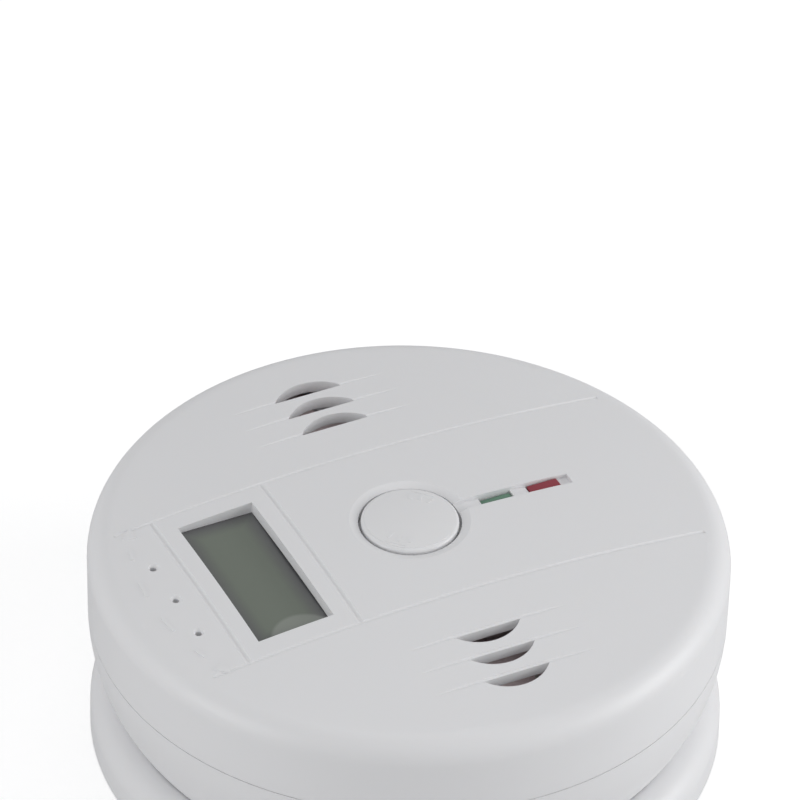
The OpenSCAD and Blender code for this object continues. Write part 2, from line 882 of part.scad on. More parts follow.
module button_marks() {
  r = button_r * 0.68;
  for (a = [-62, -44, -26, 118, 136, 154])
    rotate([0, 0, a]) translate([r, 0]) square([1.5, 0.45], center = true);
  for (a = [-44, 136])
    rotate([0, 0, a]) translate([r + 1.2, 0]) square([0.4, 3.4], center = true);
}

module test_button() {
  color(shell_white) {
    rotate_extrude() button_section();
    intersection() {
      translate([0, 0, button_top - button_crown_r]) rotate_extrude()
        intersection() {
          difference() {
            circle(button_crown_r + mark_h / 2, $fn = 360);
            circle(button_crown_r - mark_h, $fn = 360);
          }
          translate([0, button_crown_r - 2]) square([button_r, 4]);
        }
      translate([0, 0, cap_under]) linear_extrude(4) button_marks();
    }
  }
}

module button_spring() {
  low = board_top + button_wire_d / 2 + 0.02;
  high = cap_under - button_wire_d / 2 - 0.05;
  color(bare_metal)
    wire(coil(spring_r, spring_r, low, high, button_turns, 24),
         button_wire_d / 2, 8, [0, 0, 1]);
}

module switch_body() {
  color(part_black) translate([0, 0, board_top]) difference() {
    translate([-switch_w / 2, -switch_w / 2, 0])
      cube([switch_w, switch_w, switch_top - board_top]);
    translate([0, 0, 1]) cylinder(r = plunger_r + plunger_fit, h = 5, $fn = 48);
  }
}

module switch_plunger() {
  color([0.12, 0.12, 0.12]) translate([0, 0, plunger_low])
    cylinder(r = plunger_r, h = plunger_top - plunger_low, $fn = 48);
}

module switch_legs() {
  color(bare_metal) at_switch_legs() translate([0, 0, board_low - pin_tail])
    cylinder(r = switch_leg_r, h = board_t + pin_tail + 0.7, $fn = 16);
}

// ------------------------------------------------------ sensor and sounder

module sensor_can() {
  rim = 1;
  color(bare_metal) translate([sensor_x, 0, sensor_low]) difference() {
    union() {
      cylinder(d = sensor_d - 1.2, h = sensor_h);
      translate([0, 0, sensor_h - rim]) cylinder(d = sensor_d, h = rim);
    }
    translate([0, 0, -1]) cylinder(d = sensor_d - 6, h = 2.2);
  }
}

module sensor_filter() {
  color([0.85, 0.85, 0.82]) translate([sensor_x, 0, sensor_low + 0.4]) difference() {
    cylinder(d = sensor_d - 6.2, h = 0.8);
    for (a = [0 : 60 : 300])
      rotate([0, 0, a]) translate([3.4, 0, -1]) cylinder(r = 0.7, h = 3, $fn = 24);
    translate([0, 0, -1]) cylinder(r = 0.7, h = 3, $fn = 24);
  }
}

module sensor_pins() {
  color(bare_metal) at_sensor_pins() translate([0, 0, board_low])
    cylinder(r = sensor_pin_r, h = board_t + pin_tail, $fn = 16);
}

module sounder_case() {
  color(part_black) translate([sounder_x, sounder_y, sounder_low]) difference() {
    cylinder(d = sounder_d, h = sounder_h);
    translate([0, 0, 1.2]) cylinder(d = sounder_d - 2.4, h = sounder_h - 2.4);
    translate([0, 0, -1]) cylinder(d = 4, h = 3, $fn = 32);
  }
}

module sounder_disc() {
  color([0.80, 0.62, 0.28])
    translate([sounder_x, sounder_y, sounder_low + sounder_h / 2]) {
      cylinder(d = sounder_d - 2.6, h = 0.3);
      translate([0, 0, 0.3]) cylinder(d = (sounder_d - 2.6) * 0.7, h = 0.25);
    }
}

module sounder_pins() {
  color(bare_metal) at_sounder_pins() translate([0, 0, board_low])
    cylinder(r = sounder_pin_r, h = board_t + pin_tail, $fn = 16);
}

// ------------------------------------------------- parts under the board

module chip(at, size) {
  stand = 0.15;
  translate([at[0] - size[0] / 2, at[1] - size[1] / 2, board_low - stand - size[2]])
    difference() {
      cube(size);
      translate([1.2, size[1] / 2, -eps]) cylinder(r = 0.5, h = 0.2, $fn = 24);
    }
}

// each leg: a foot on the board and a riser against the chip's side
module chip_legs(at, size, per_side) {
  foot = [0.4, 1.2, 0.2];
  riser = [0.4, 0.25, 0.95];
  for (s = [-1, 1], i = [0 : per_side - 1])
    translate([at[0] + (i - (per_side - 1) / 2) * leg_pitch - foot[0] / 2,
               at[1] + (s > 0 ? size[1] / 2 : -size[1] / 2 - foot[1]),
               board_low - foot[2]]) {
      cube(foot);
      translate([0, s > 0 ? 0 : foot[1] - riser[1], -0.9]) cube(riser);
    }
}

module controller_chip() {
  color(part_black) chip(chip_at, chip_size);
}

module controller_legs() {
  color(bare_metal) chip_legs(chip_at, chip_size, chip_legs_per_side);
}

module amplifier_chip() {
  color(part_black) chip(amp_at, amp_size);
}

module amplifier_legs() {
  color(bare_metal) chip_legs(amp_at, amp_size, amp_legs_per_side);
}

module front_capacitor() {
  color([0.14, 0.13, 0.15])
    translate([front_capacitor_at[0], front_capacitor_at[1], board_top])
      cylinder(d = 4, h = 3.4, $fn = 48);
}

module rear_capacitors() {
  color([0.12, 0.14, 0.28]) for (p = rear_capacitor_places)
    translate([p[0], p[1], board_low - 3.9]) difference() {
      cylinder(d = 6, h = 3.9, $fn = 64);
      translate([-2, -0.15, -eps]) cube([4, 0.3, 0.2]);
      translate([-0.15, -2, -eps]) cube([0.3, 4, 0.2]);
    }
}

module resistors() {
  color([0.74, 0.62, 0.46]) for (p = resistor_places)
    translate([p[0], p[1], board_low - 1.1]) rotate([90, 0, 0]) {
      cylinder(d = 2, h = 5, center = true, $fn = 32);
      for (s = [-1, 1])
        translate([0, 0, s * 1.9]) cylinder(d = 2.2, h = 1.2, center = true, $fn = 32);
    }
}

module transistors() {
  color(part_black) for (p = transistor_places)
    translate([p[0], p[1], board_low - 4.4]) intersection() {
      cylinder(r = 2.3, h = 4.4, $fn = 48);
      translate([-3, -1.4, 0]) cube([6, 4, 5]);
    }
}

module boost_coil() {
  color([0.20, 0.18, 0.17]) translate([16, 3, board_low - 4.2]) {
    cylinder(d = 7, h = 1, $fn = 64);
    translate([0, 0, 1]) cylinder(d = 5.4, h = 2.2, $fn = 64);
    translate([0, 0, 3.2]) cylinder(d = 7, h = 1, $fn = 64);
  }
}

module clock_crystal() {
  color(bare_metal) translate([-18, -4, board_low - 1.3]) rotate([90, 0, 0])
    cylinder(d = 2.1, h = 6, center = true, $fn = 32);
}

// --------------------------------------------------------------- batteries

// flip = 1 puts the nub at the upper end of the bay
module cell(index, flip) {
  nub_h = 1;
  shift = flip * (spring_room / 2);
  translate([index * cell_pitch, shift, cell_z])
    rotate([-90 * flip, 0, 0]) translate([0, 0, -cell_l / 2]) {
      cylinder(d = cell_d, h = cell_l - nub_h);
      cylinder(d = 5.2, h = cell_l, $fn = 48);
    }
}

module battery_cell_left() {
  color([0.16, 0.17, 0.20]) cell(-1, -1);
}

module battery_cell_middle() {
  color([0.16, 0.17, 0.20]) cell(0, 1);
}

module battery_cell_right() {
  color([0.16, 0.17, 0.20]) cell(1, -1);
}

module contact_plate(x, w, end) {
  h = cell_d - 3;
  translate([x - w / 2, end > 0 ? bay_l / 2 - contact_t : -bay_l / 2, cell_z - h / 2])
    cube([w, contact_t, h]);
}

module contact_plates() {
  single = cell_d - 4;
  tab_h = bay_top + contact_tab_up - cell_z;
  color(bare_metal) {
    for (s = [-1, 1]) {
      contact_plate(s * cell_pitch, single, s);
      contact_plate(-s * cell_pitch / 2, single + cell_pitch, s);
      translate([s * cell_pitch - contact_tab_w / 2,
                 s > 0 ? bay_l / 2 - contact_t : -bay_l / 2, cell_z])
        cube([contact_tab_w, contact_t, tab_h]);
    }
  }
}

module contact_spring() {
  wire(coil(5, 2.6, contact_t + 0.45, spring_room + contact_t - 0.45, 3.5, 18),
       0.4, 6, [0, 0, 1]);
}

module contact_springs() {
  color(bare_metal) {
    for (s = [-1, 1])
      translate([s * cell_pitch, bay_l / 2, cell_z]) rotate([90, 0, 0]) contact_spring();
    translate([0, -bay_l / 2, cell_z]) rotate([-90, 0, 0]) contact_spring();
  }
}

module lead(s) {
  tab_y = bay_l / 2 - contact_t / 2;
  wire(wire_path([s * cell_pitch, s * tab_y, bay_top + contact_tab_up + wire_end_gap],
                 [s * (cell_pitch - 5), s * (tab_y - 9), board_low - wire_end_gap]),
       0.55, 8, [1, 0, 0]);
}

module red_wire() {
  color([0.72, 0.12, 0.12]) lead(-1);
}

module black_wire() {
  color(part_black) lead(1);
}

mounting_plate();
rear_housing();
front_cover();
case_screws();
circuit_board();
board_screws();
lcd_glass();
lcd_backlight();
lcd_pins();
green_led();
red_led();
led_legs();
test_button();
button_spring();
switch_body();
switch_plunger();
switch_legs();
sensor_can();
sensor_filter();
sensor_pins();
sounder_case();
sounder_disc();
sounder_pins();
controller_chip();
controller_legs();
amplifier_chip();
amplifier_legs();
front_capacitor();
rear_capacitors();
resistors();
transistors();
boost_coil();
clock_crystal();
battery_cell_left();
battery_cell_middle();
battery_cell_right();
contact_plates();
contact_springs();
red_wire();
black_wire();
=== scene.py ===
import json
import math

import bpy
import numpy as np
from mathutils import Euler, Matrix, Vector


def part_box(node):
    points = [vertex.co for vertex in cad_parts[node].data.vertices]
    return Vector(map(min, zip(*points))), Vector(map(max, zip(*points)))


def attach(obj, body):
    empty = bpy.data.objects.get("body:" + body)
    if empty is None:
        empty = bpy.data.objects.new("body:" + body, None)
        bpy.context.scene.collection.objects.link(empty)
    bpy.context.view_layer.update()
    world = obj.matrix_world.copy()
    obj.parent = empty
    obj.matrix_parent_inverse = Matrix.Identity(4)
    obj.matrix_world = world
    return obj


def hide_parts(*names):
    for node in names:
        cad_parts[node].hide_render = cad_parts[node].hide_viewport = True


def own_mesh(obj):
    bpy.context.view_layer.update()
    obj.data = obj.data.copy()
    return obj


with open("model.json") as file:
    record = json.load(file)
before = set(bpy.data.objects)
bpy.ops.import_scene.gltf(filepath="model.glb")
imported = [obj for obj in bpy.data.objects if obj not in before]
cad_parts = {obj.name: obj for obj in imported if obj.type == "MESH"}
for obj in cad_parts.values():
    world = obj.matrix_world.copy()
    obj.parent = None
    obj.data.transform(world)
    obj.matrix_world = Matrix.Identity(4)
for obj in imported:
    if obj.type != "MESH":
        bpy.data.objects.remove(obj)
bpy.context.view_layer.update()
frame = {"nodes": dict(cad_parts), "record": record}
nodes = frame["nodes"]
mm = 0.001

# the camera, the world and the floor, in metres
studio = {
    "cameraAt": (0.8254, -0.4181, 0.8043),
    "cameraTurn": (51.308, -1.170, 64.199),  # tilt, roll and pan in degrees
    "lens": 349.155,
    "sensorWidth": 36.0,
    "lampsAimAt": (0, 0, 0.02),
    "worldTint": (0.985, 0.99, 1.0),
    "worldLight": 0.48,
    "floorGlow": 0.52,
    "floorSize": 6.0,
    "floorDrop": 0.0001,  # keeps the floor clear of the plate's flat back
}

# name: place, size, power
lamps = {
    "windowRight": ((0.75, 1.3, 0.42), 1.0, 11.5),
    "windowLeft": ((0.15, -1.5, 0.42), 1.0, 6.2),
    "overhead": ((-0.5, 0.1, 1.9), 1.6, 4.5),
}


def aimedTurn(place, target):
    return (Vector(target) - Vector(place)).to_track_quat("-Z", "Y").to_euler()


def makeStudio():
    scene = bpy.context.scene
    lensData = bpy.data.cameras.new("viewCamera")
    lensData.lens = studio["lens"]
    lensData.sensor_width = studio["sensorWidth"]
    camera = bpy.data.objects.new("viewCamera", lensData)
    camera.location = studio["cameraAt"]
    camera.rotation_euler = Euler([math.radians(a) for a in studio["cameraTurn"]], "XYZ")
    scene.collection.objects.link(camera)
    scene.camera = camera
    scene.view_settings.view_transform = "Standard"

    world = bpy.data.worlds.new("softWorld")
    world.use_nodes = True
    sky = world.node_tree.nodes["Background"]
    sky.inputs["Color"].default_value = (*studio["worldTint"], 1.0)
    sky.inputs["Strength"].default_value = studio["worldLight"]
    scene.world = world

    for name, (place, size, power) in lamps.items():
        light = bpy.data.lights.new(name, "AREA")
        light.shape = "DISK"
        light.size = size
        light.energy = power
        lamp = bpy.data.objects.new(name, light)
        lamp.location = place
        lamp.rotation_euler = aimedTurn(place, studio["lampsAimAt"])
        scene.collection.objects.link(lamp)


makeStudio()
print("camera and lights are in")


# a node group whose sockets carry only what varies
def newGroup(name, inputs, outputs):
    group = bpy.data.node_groups.new(name, "ShaderNodeTree")
    for label, kind, value in inputs:
        socket = group.interface.new_socket(label, in_out="INPUT", socket_type=kind)
        if value is not None:
            socket.default_value = value
    for label, kind in outputs:
        group.interface.new_socket(label, in_out="OUTPUT", socket_type=kind)
    return group, group.nodes.new("NodeGroupInput"), group.nodes.new("NodeGroupOutput")


# a math node: numbers go on its own sockets, and anything else is linked
def mathNode(tree, operation, first, second=None, third=None):
    node = tree.nodes.new("ShaderNodeMath")
    node.operation = operation
    for slot, value in enumerate((first, second, third)):
        if value is None:
            continue
        if isinstance(value, (int, float)):
            node.inputs[slot].default_value = value
        else:
            tree.links.new(value, node.inputs[slot])
    return node.outputs[0]


def mixColour(tree, amount, first, second):
    node = tree.nodes.new("ShaderNodeMix")
    node.data_type = "RGBA"
    for slot, value in ((0, amount), (6, first), (7, second)):
        if isinstance(value, (int, float)):
            node.inputs[slot].default_value = value
        elif isinstance(value, tuple):
            node.inputs[slot].default_value = (*value[:3], 1.0)
        else:
            tree.links.new(value, node.inputs[slot])
    return node.outputs[2]


def noiseAt(tree, vector, scale, detail=2.0, roughness=0.5):
    node = tree.nodes.new("ShaderNodeTexNoise")
    node.inputs["Detail"].default_value = detail
    node.inputs["Roughness"].default_value = roughness
    tree.links.new(vector, node.inputs["Vector"])
    if isinstance(scale, (int, float)):
        node.inputs["Scale"].default_value = scale
    else:
        tree.links.new(scale, node.inputs["Scale"])
    return node.outputs["Fac"]


# moulded grain: fine spark texture, slow mottling of the colour and soft gloss patches
def makeMouldedGroup():
    look = {"mottleScale": 28.0, "patchScale": 140.0}
    group, into, out = newGroup(
        "mouldedGrain",
        [("Colour", "NodeSocketColor", (0.6, 0.6, 0.6, 1)),
         ("Shade", "NodeSocketFloat", 0.03),
         ("Grain", "NodeSocketFloat", 5200.0),
         ("Gloss", "NodeSocketFloat", 0.4),
         ("Gloss Spread", "NodeSocketFloat", 0.06)],
        [("Colour", "NodeSocketColor"), ("Roughness", "NodeSocketFloat"),
         ("Height", "NodeSocketFloat")])
    place = group.nodes.new("ShaderNodeTexCoord").outputs["Object"]
    slow = noiseAt(group, place, look["mottleScale"], 3.0)
    patches = noiseAt(group, place, look["patchScale"], 4.0, 0.6)
    fine = noiseAt(group, place, into.outputs["Grain"], 2.0, 0.6)
    swing = mathNode(group, "MULTIPLY", mathNode(group, "SUBTRACT", slow, 0.5),
                     into.outputs["Shade"])
    level = mathNode(group, "ADD", 1.0, swing)
    tinted = group.nodes.new("ShaderNodeVectorMath")
    tinted.operation = "SCALE"
    group.links.new(into.outputs["Colour"], tinted.inputs[0])
    group.links.new(level, tinted.inputs["Scale"])
    gloss = mathNode(group, "MULTIPLY_ADD", mathNode(group, "SUBTRACT", patches, 0.5),
                     into.outputs["Gloss Spread"], into.outputs["Gloss"])
    group.links.new(tinted.outputs[0], out.inputs["Colour"])
    group.links.new(gloss, out.inputs["Roughness"])
    group.links.new(fine, out.inputs["Height"])
    return group


# brushed or plated metal: stretched scratches over blotches
def makeMetalGroup():
    look = {"alongScratch": 0.08, "blotchScale": 350.0, "scratchGloss": 0.25}
    group, into, out = newGroup(
        "platedMetal",
        [("Colour", "NodeSocketColor", (0.7, 0.7, 0.7, 1)),
         ("Tarnish", "NodeSocketColor", (0.45, 0.43, 0.40, 1)),
         ("Tarnish Amount", "NodeSocketFloat", 0.3),
         ("Gloss", "NodeSocketFloat", 0.3),
         ("Scratch Scale", "NodeSocketFloat", 900.0)],
        [("Colour", "NodeSocketColor"), ("Roughness", "NodeSocketFloat"),
         ("Height", "NodeSocketFloat")])
    place = group.nodes.new("ShaderNodeTexCoord").outputs["Object"]
    stretch = group.nodes.new("ShaderNodeMapping")
    stretch.inputs["Scale"].default_value = (1.0, 1.0, look["alongScratch"])
    group.links.new(place, stretch.inputs["Vector"])
    scratches = noiseAt(group, stretch.outputs[0], into.outputs["Scratch Scale"], 4.0, 0.7)
    blotches = noiseAt(group, place, look["blotchScale"], 3.0)
    dull = mathNode(group, "MULTIPLY", blotches, into.outputs["Tarnish Amount"])
    colour = mixColour(group, dull, into.outputs["Colour"], into.outputs["Tarnish"])
    gloss = mathNode(group, "MULTIPLY_ADD", scratches, look["scratchGloss"], into.outputs["Gloss"])
    group.links.new(colour, out.inputs["Colour"])
    group.links.new(gloss, out.inputs["Roughness"])
    group.links.new(scratches, out.inputs["Height"])
    return group


mouldedGroup = makeMouldedGroup()
metalGroup = makeMetalGroup()


def newMaterial(name):
    material = bpy.data.materials.new(name)
    material.use_nodes = True
    return material, material.node_tree, material.node_tree.nodes["Principled BSDF"]


def addBump(tree, shader, height, strength, distance):
    bump = tree.nodes.new("ShaderNodeBump")
    bump.inputs["Strength"].default_value = strength
    bump.inputs["Distance"].default_value = distance
    tree.links.new(height, bump.inputs["Height"])
    tree.links.new(bump.outputs[0], shader.inputs["Normal"])


def useGroup(tree, group, values):
    node = tree.nodes.new("ShaderNodeGroup")
    node.node_tree = group
    for label, value in values.items():
        node.inputs[label].default_value = value
    return node


# what each moulded plastic looks like: colour, gloss and the depth of its grain
plastics = {
    "case_white": {"colour": (0.830, 0.830, 0.842), "gloss": 0.42, "spread": 0.06, "shade": 0.02,
                   "grain": 5200.0, "bump": 0.10, "subsurface": 0.10},
    "button_white": {"colour": (0.832, 0.832, 0.842), "gloss": 0.34, "spread": 0.05, "shade": 0.02,
                     "grain": 6000.0, "bump": 0.06, "subsurface": 0.10},
    "black_plastic": {"colour": (0.022, 0.022, 0.024), "gloss": 0.45, "spread": 0.15, "shade": 0.3,
                      "grain": 7000.0, "bump": 0.3, "subsurface": 0.0},
    "diffuser": {"colour": (0.80, 0.82, 0.78), "gloss": 0.30, "spread": 0.05, "shade": 0.03,
                 "grain": 4000.0, "bump": 0.05, "subsurface": 0.2},
    "green_lens": {"colour": (0.150, 0.270, 0.195), "gloss": 0.30, "spread": 0.1, "shade": 0.2,
                   "grain": 3000.0, "bump": 0.05, "subsurface": 0.0, "shine": 0.28},
    "red_lens": {"colour": (0.300, 0.050, 0.068), "gloss": 0.28, "spread": 0.1, "shade": 0.2,
                 "grain": 3000.0, "bump": 0.05, "subsurface": 0.0, "shine": 0.28},
    "capacitor_sleeve": {"colour": (0.012, 0.016, 0.055), "gloss": 0.25, "spread": 0.1,
                         "shade": 0.2, "grain": 3000.0, "bump": 0.1, "subsurface": 0.0},
    "coil_ferrite": {"colour": (0.035, 0.030, 0.027), "gloss": 0.6, "spread": 0.2, "shade": 0.4,
                     "grain": 5000.0, "bump": 0.5, "subsurface": 0.0},
    "red_insulation": {"colour": (0.42, 0.02, 0.02), "gloss": 0.35, "spread": 0.1, "shade": 0.1,
                       "grain": 4000.0, "bump": 0.1, "subsurface": 0.0},
    "black_insulation": {"colour": (0.02, 0.02, 0.02), "gloss": 0.35, "spread": 0.1, "shade": 0.1,
                         "grain": 4000.0, "bump": 0.1, "subsurface": 0.0},
    "filter_white": {"colour": (0.70, 0.70, 0.66), "gloss": 0.85, "spread": 0.1, "shade": 0.15,
                     "grain": 9000.0, "bump": 0.6, "subsurface": 0.0},
}

# plated and bare metals: colour, tarnish and polish
metals = {
    "screw_steel": {"colour": (0.60, 0.60, 0.58), "tarnish": (0.34, 0.33, 0.30), "amount": 0.4,
                    "gloss": 0.28, "bump": 0.15},
    "tinned_metal": {"colour": (0.66, 0.65, 0.62), "tarnish": (0.42, 0.40, 0.36), "amount": 0.5,
                     "gloss": 0.30, "bump": 0.10},
    "spring_steel": {"colour": (0.58, 0.58, 0.57), "tarnish": (0.30, 0.29, 0.27), "amount": 0.3,
                     "gloss": 0.18, "bump": 0.05},
    "sensor_metal": {"colour": (0.62, 0.62, 0.61), "tarnish": (0.44, 0.43, 0.41), "amount": 0.4,
                     "gloss": 0.32, "bump": 0.2},
    "brass_disc": {"colour": (0.62, 0.42, 0.16), "tarnish": (0.36, 0.22, 0.08), "amount": 0.5,
                   "gloss": 0.30, "bump": 0.1},
}


# what every plastic shares: its refraction, the depth of light in it and its grain's depth
plasticSkin = {"refraction": 1.5, "shine": 0.5, "lightDepth": 0.002,
               "lightTint": (1.0, 0.9, 0.8), "grainDepth": 0.00004}
metalGrainDepth = 0.00003


def makePlastic(name, look):
    material, tree, shader = newMaterial(name)
    skin = useGroup(tree, mouldedGroup, {
        "Colour": (*look["colour"], 1), "Shade": look["shade"], "Grain": look["grain"],
        "Gloss": look["gloss"], "Gloss Spread": look["spread"]})
    tree.links.new(skin.outputs["Colour"], shader.inputs["Base Color"])
    tree.links.new(skin.outputs["Roughness"], shader.inputs["Roughness"])
    shader.inputs["IOR"].default_value = plasticSkin["refraction"]
    shader.inputs["Specular IOR Level"].default_value = look.get("shine", plasticSkin["shine"])
    if look["subsurface"]:
        shader.inputs["Subsurface Weight"].default_value = look["subsurface"]
        shader.inputs["Subsurface Scale"].default_value = plasticSkin["lightDepth"]
        shader.inputs["Subsurface Radius"].default_value = plasticSkin["lightTint"]
    addBump(tree, shader, skin.outputs["Height"], look["bump"], plasticSkin["grainDepth"])
    return material


def makeMetal(name, look):
    material, tree, shader = newMaterial(name)
    skin = useGroup(tree, metalGroup, {
        "Colour": (*look["colour"], 1), "Tarnish": (*look["tarnish"], 1),
        "Tarnish Amount": look["amount"], "Gloss": look["gloss"]})
    tree.links.new(skin.outputs["Colour"], shader.inputs["Base Color"])
    tree.links.new(skin.outputs["Roughness"], shader.inputs["Roughness"])
    shader.inputs["Metallic"].default_value = 1.0
    addBump(tree, shader, skin.outputs["Height"], look["bump"], metalGrainDepth)
    return material


materials = {name: makePlastic(name, look) for name, look in plastics.items()}
materials.update({name: makeMetal(name, look) for name, look in metals.items()})


# circuit board: glass weave under lacquer, with paler tracks seen through it
def makeBoardMaterial():
    look = {"lacquer": (0.70, 0.57, 0.58), "track": (0.78, 0.66, 0.66),
            "weave": 2600.0, "tracks": 260.0, "trackFrom": 0.62, "trackShow": 0.6,
            "gloss": 0.38, "weaveHeight": 0.2, "bump": 0.2, "depth": 0.00003}
    material, tree, shader = newMaterial("board")
    place = tree.nodes.new("ShaderNodeTexCoord").outputs["Object"]
    parts = tree.nodes.new("ShaderNodeSeparateXYZ")
    tree.links.new(place, parts.inputs[0])
    waves = []
    for axis in ("X", "Y"):
        wave = mathNode(tree, "SINE", mathNode(tree, "MULTIPLY", parts.outputs[axis],
                                               look["weave"]))
        waves.append(wave)
    weave = mathNode(tree, "MULTIPLY", waves[0], waves[1])
    cells = tree.nodes.new("ShaderNodeTexVoronoi")
    cells.distance = "MANHATTAN"
    cells.inputs["Scale"].default_value = look["tracks"]
    tree.links.new(place, cells.inputs["Vector"])
    track = mathNode(tree, "GREATER_THAN", cells.outputs["Distance"], look["trackFrom"])
    colour = mixColour(tree, mathNode(tree, "MULTIPLY", track, look["trackShow"]),
                       look["lacquer"], look["track"])
    tree.links.new(colour, shader.inputs["Base Color"])
    shader.inputs["Roughness"].default_value = look["gloss"]
    height = mathNode(tree, "MULTIPLY_ADD", weave, look["weaveHeight"], track)
    addBump(tree, shader, height, look["bump"], look["depth"])
    return material


# display: dark grey-green film, darker towards its edge, with a painted reflection, under smooth
# glass
def makeDisplayMaterial():
    low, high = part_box("lcd_glass")
    # the pale glint colour and the glint places below are a painted reflection on the film
    look = {"film": (0.170, 0.195, 0.160), "edge": (0.120, 0.120, 0.125),
            "halfWidth": 14.8, "halfHeight": 6.3, "edgeFade": 3.5, "cloud": 0.12,
            "gloss": 0.16, "coat": 0.25, "coatGloss": 0.03, "paintedGlint": (0.36, 0.38, 0.35),
            "paintedGlints": [(15.6, -25.0, 5.2, 0.45)]}
    material, tree, shader = newMaterial("display_glass")
    place = tree.nodes.new("ShaderNodeTexCoord").outputs["Object"]
    parts = tree.nodes.new("ShaderNodeSeparateXYZ")
    tree.links.new(place, parts.inputs[0])
    middle = (low + high) / 2
    # distance from each edge of the window, counted from its middle
    reach = []
    for axis, centre, half in (("X", middle.x, look["halfWidth"]),
                               ("Y", middle.y, look["halfHeight"])):
        away = mathNode(tree, "ABSOLUTE", mathNode(tree, "SUBTRACT", parts.outputs[axis], centre))
        left = mathNode(tree, "SUBTRACT", half * mm, away)
        reach.append(mathNode(tree, "DIVIDE", left, look["edgeFade"] * mm))
    near = mathNode(tree, "MINIMUM", reach[0], reach[1])
    soft = tree.nodes.new("ShaderNodeMapRange")
    soft.interpolation_type = "SMOOTHSTEP"
    tree.links.new(near, soft.inputs["Value"])
    cloud = noiseAt(tree, place, 160.0, 3.0)
    amount = mathNode(tree, "MULTIPLY_ADD", cloud, look["cloud"], soft.outputs[0])
    colour = mixColour(tree, amount, look["edge"], look["film"])
    # painted reflections: pale round glints painted into the film's colour, reaching in from the
    # window's edges: one where the distance from a point is under the glint's radius
    for x, y, radius, strength in look["paintedGlints"]:
        centre = tree.nodes.new("ShaderNodeVectorMath")
        centre.operation = "DISTANCE"
        tree.links.new(place, centre.inputs[0])
        centre.inputs[1].default_value = (x * mm, y * mm, high.z)
        inside = tree.nodes.new("ShaderNodeMapRange")
        inside.interpolation_type = "SMOOTHSTEP"
        inside.inputs["From Min"].default_value = (radius + 0.5) * mm
        inside.inputs["From Max"].default_value = (radius - 0.3) * mm
        tree.links.new(centre.outputs["Value"], inside.inputs["Value"])
        # the painted reflection is mixed into the film's colour
        colour = mixColour(tree, mathNode(tree, "MULTIPLY", inside.outputs[0], strength),
                           colour, look["paintedGlint"])
    tree.links.new(colour, shader.inputs["Base Color"])
    shader.inputs["Roughness"].default_value = look["gloss"]
    shader.inputs["IOR"].default_value = plasticSkin["refraction"]
    shader.inputs["Coat Weight"].default_value = look["coat"]
    shader.inputs["Coat Roughness"].default_value = look["coatGloss"]
    return material


# resistor: tan lacquer with colour bands round the body along Y
def makeResistorMaterial():
    low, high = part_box("resistors")
    look = {"lacquer": (0.50, 0.34, 0.18), "halfBand": 0.045, "gloss": 0.3,
            "bands": [(-0.30, (0.45, 0.02, 0.01)), (-0.08, (0.02, 0.02, 0.02)),
                      (0.10, (0.40, 0.14, 0.01)), (0.34, (0.55, 0.38, 0.08))]}
    material, tree, shader = newMaterial("resistor_tan")
    place = tree.nodes.new("ShaderNodeTexCoord").outputs["Object"]
    parts = tree.nodes.new("ShaderNodeSeparateXYZ")
    tree.links.new(place, parts.inputs[0])
    length = high.y - low.y
    along = mathNode(tree, "DIVIDE", mathNode(tree, "SUBTRACT", parts.outputs["Y"],
                                              (low.y + high.y) / 2), length)
    colour = look["lacquer"]
    for centre, paint in look["bands"]:
        near = mathNode(tree, "COMPARE", along, centre, look["halfBand"])
        colour = mixColour(tree, near, colour, paint)
    tree.links.new(colour, shader.inputs["Base Color"])
    shader.inputs["Roughness"].default_value = look["gloss"]
    addBump(tree, shader, noiseAt(tree, place, 2500.0), 0.1, metalGrainDepth)
    return material


# cell: dark sleeve with a copper-coloured band at the plus end, and bare metal at both ends.
# cellPlace holds each point's radius and height on its own cell, in millimetres
def makeCellMaterial():
    look = {"sleeve": (0.022, 0.024, 0.030), "scuff": (0.10, 0.10, 0.11),
            "copper": (0.46, 0.22, 0.10), "metal": (0.62, 0.62, 0.60),
            "bandFrom": 34.0, "metalWithin": 5.3}
    material, tree, shader = newMaterial("cell_sleeve")
    place = tree.nodes.new("ShaderNodeTexCoord").outputs["Object"]
    own = tree.nodes.new("ShaderNodeAttribute")
    own.attribute_name = "cellPlace"
    parts = tree.nodes.new("ShaderNodeSeparateXYZ")
    tree.links.new(own.outputs["Vector"], parts.inputs[0])
    scuffs = noiseAt(tree, place, 420.0, 5.0, 0.7)
    colour = mixColour(tree, mathNode(tree, "MULTIPLY", scuffs, 0.25), look["sleeve"],
                       look["scuff"])
    band = mathNode(tree, "GREATER_THAN", parts.outputs["Y"], look["bandFrom"])
    colour = mixColour(tree, band, colour, look["copper"])
    bare = mathNode(tree, "LESS_THAN", parts.outputs["X"], look["metalWithin"])
    colour = mixColour(tree, bare, colour, look["metal"])
    tree.links.new(colour, shader.inputs["Base Color"])
    rough = mathNode(tree, "MULTIPLY_ADD", scuffs, 0.2, 0.18)
    tree.links.new(rough, shader.inputs["Roughness"])
    shine = mathNode(tree, "MAXIMUM", bare, mathNode(tree, "MULTIPLY", band, 0.7))
    tree.links.new(shine, shader.inputs["Metallic"])
    return material


materials["board"] = makeBoardMaterial()
materials["display_glass"] = makeDisplayMaterial()
materials["resistor_tan"] = makeResistorMaterial()
materials["cell_sleeve"] = makeCellMaterial()
print("materials are made:", len(materials))


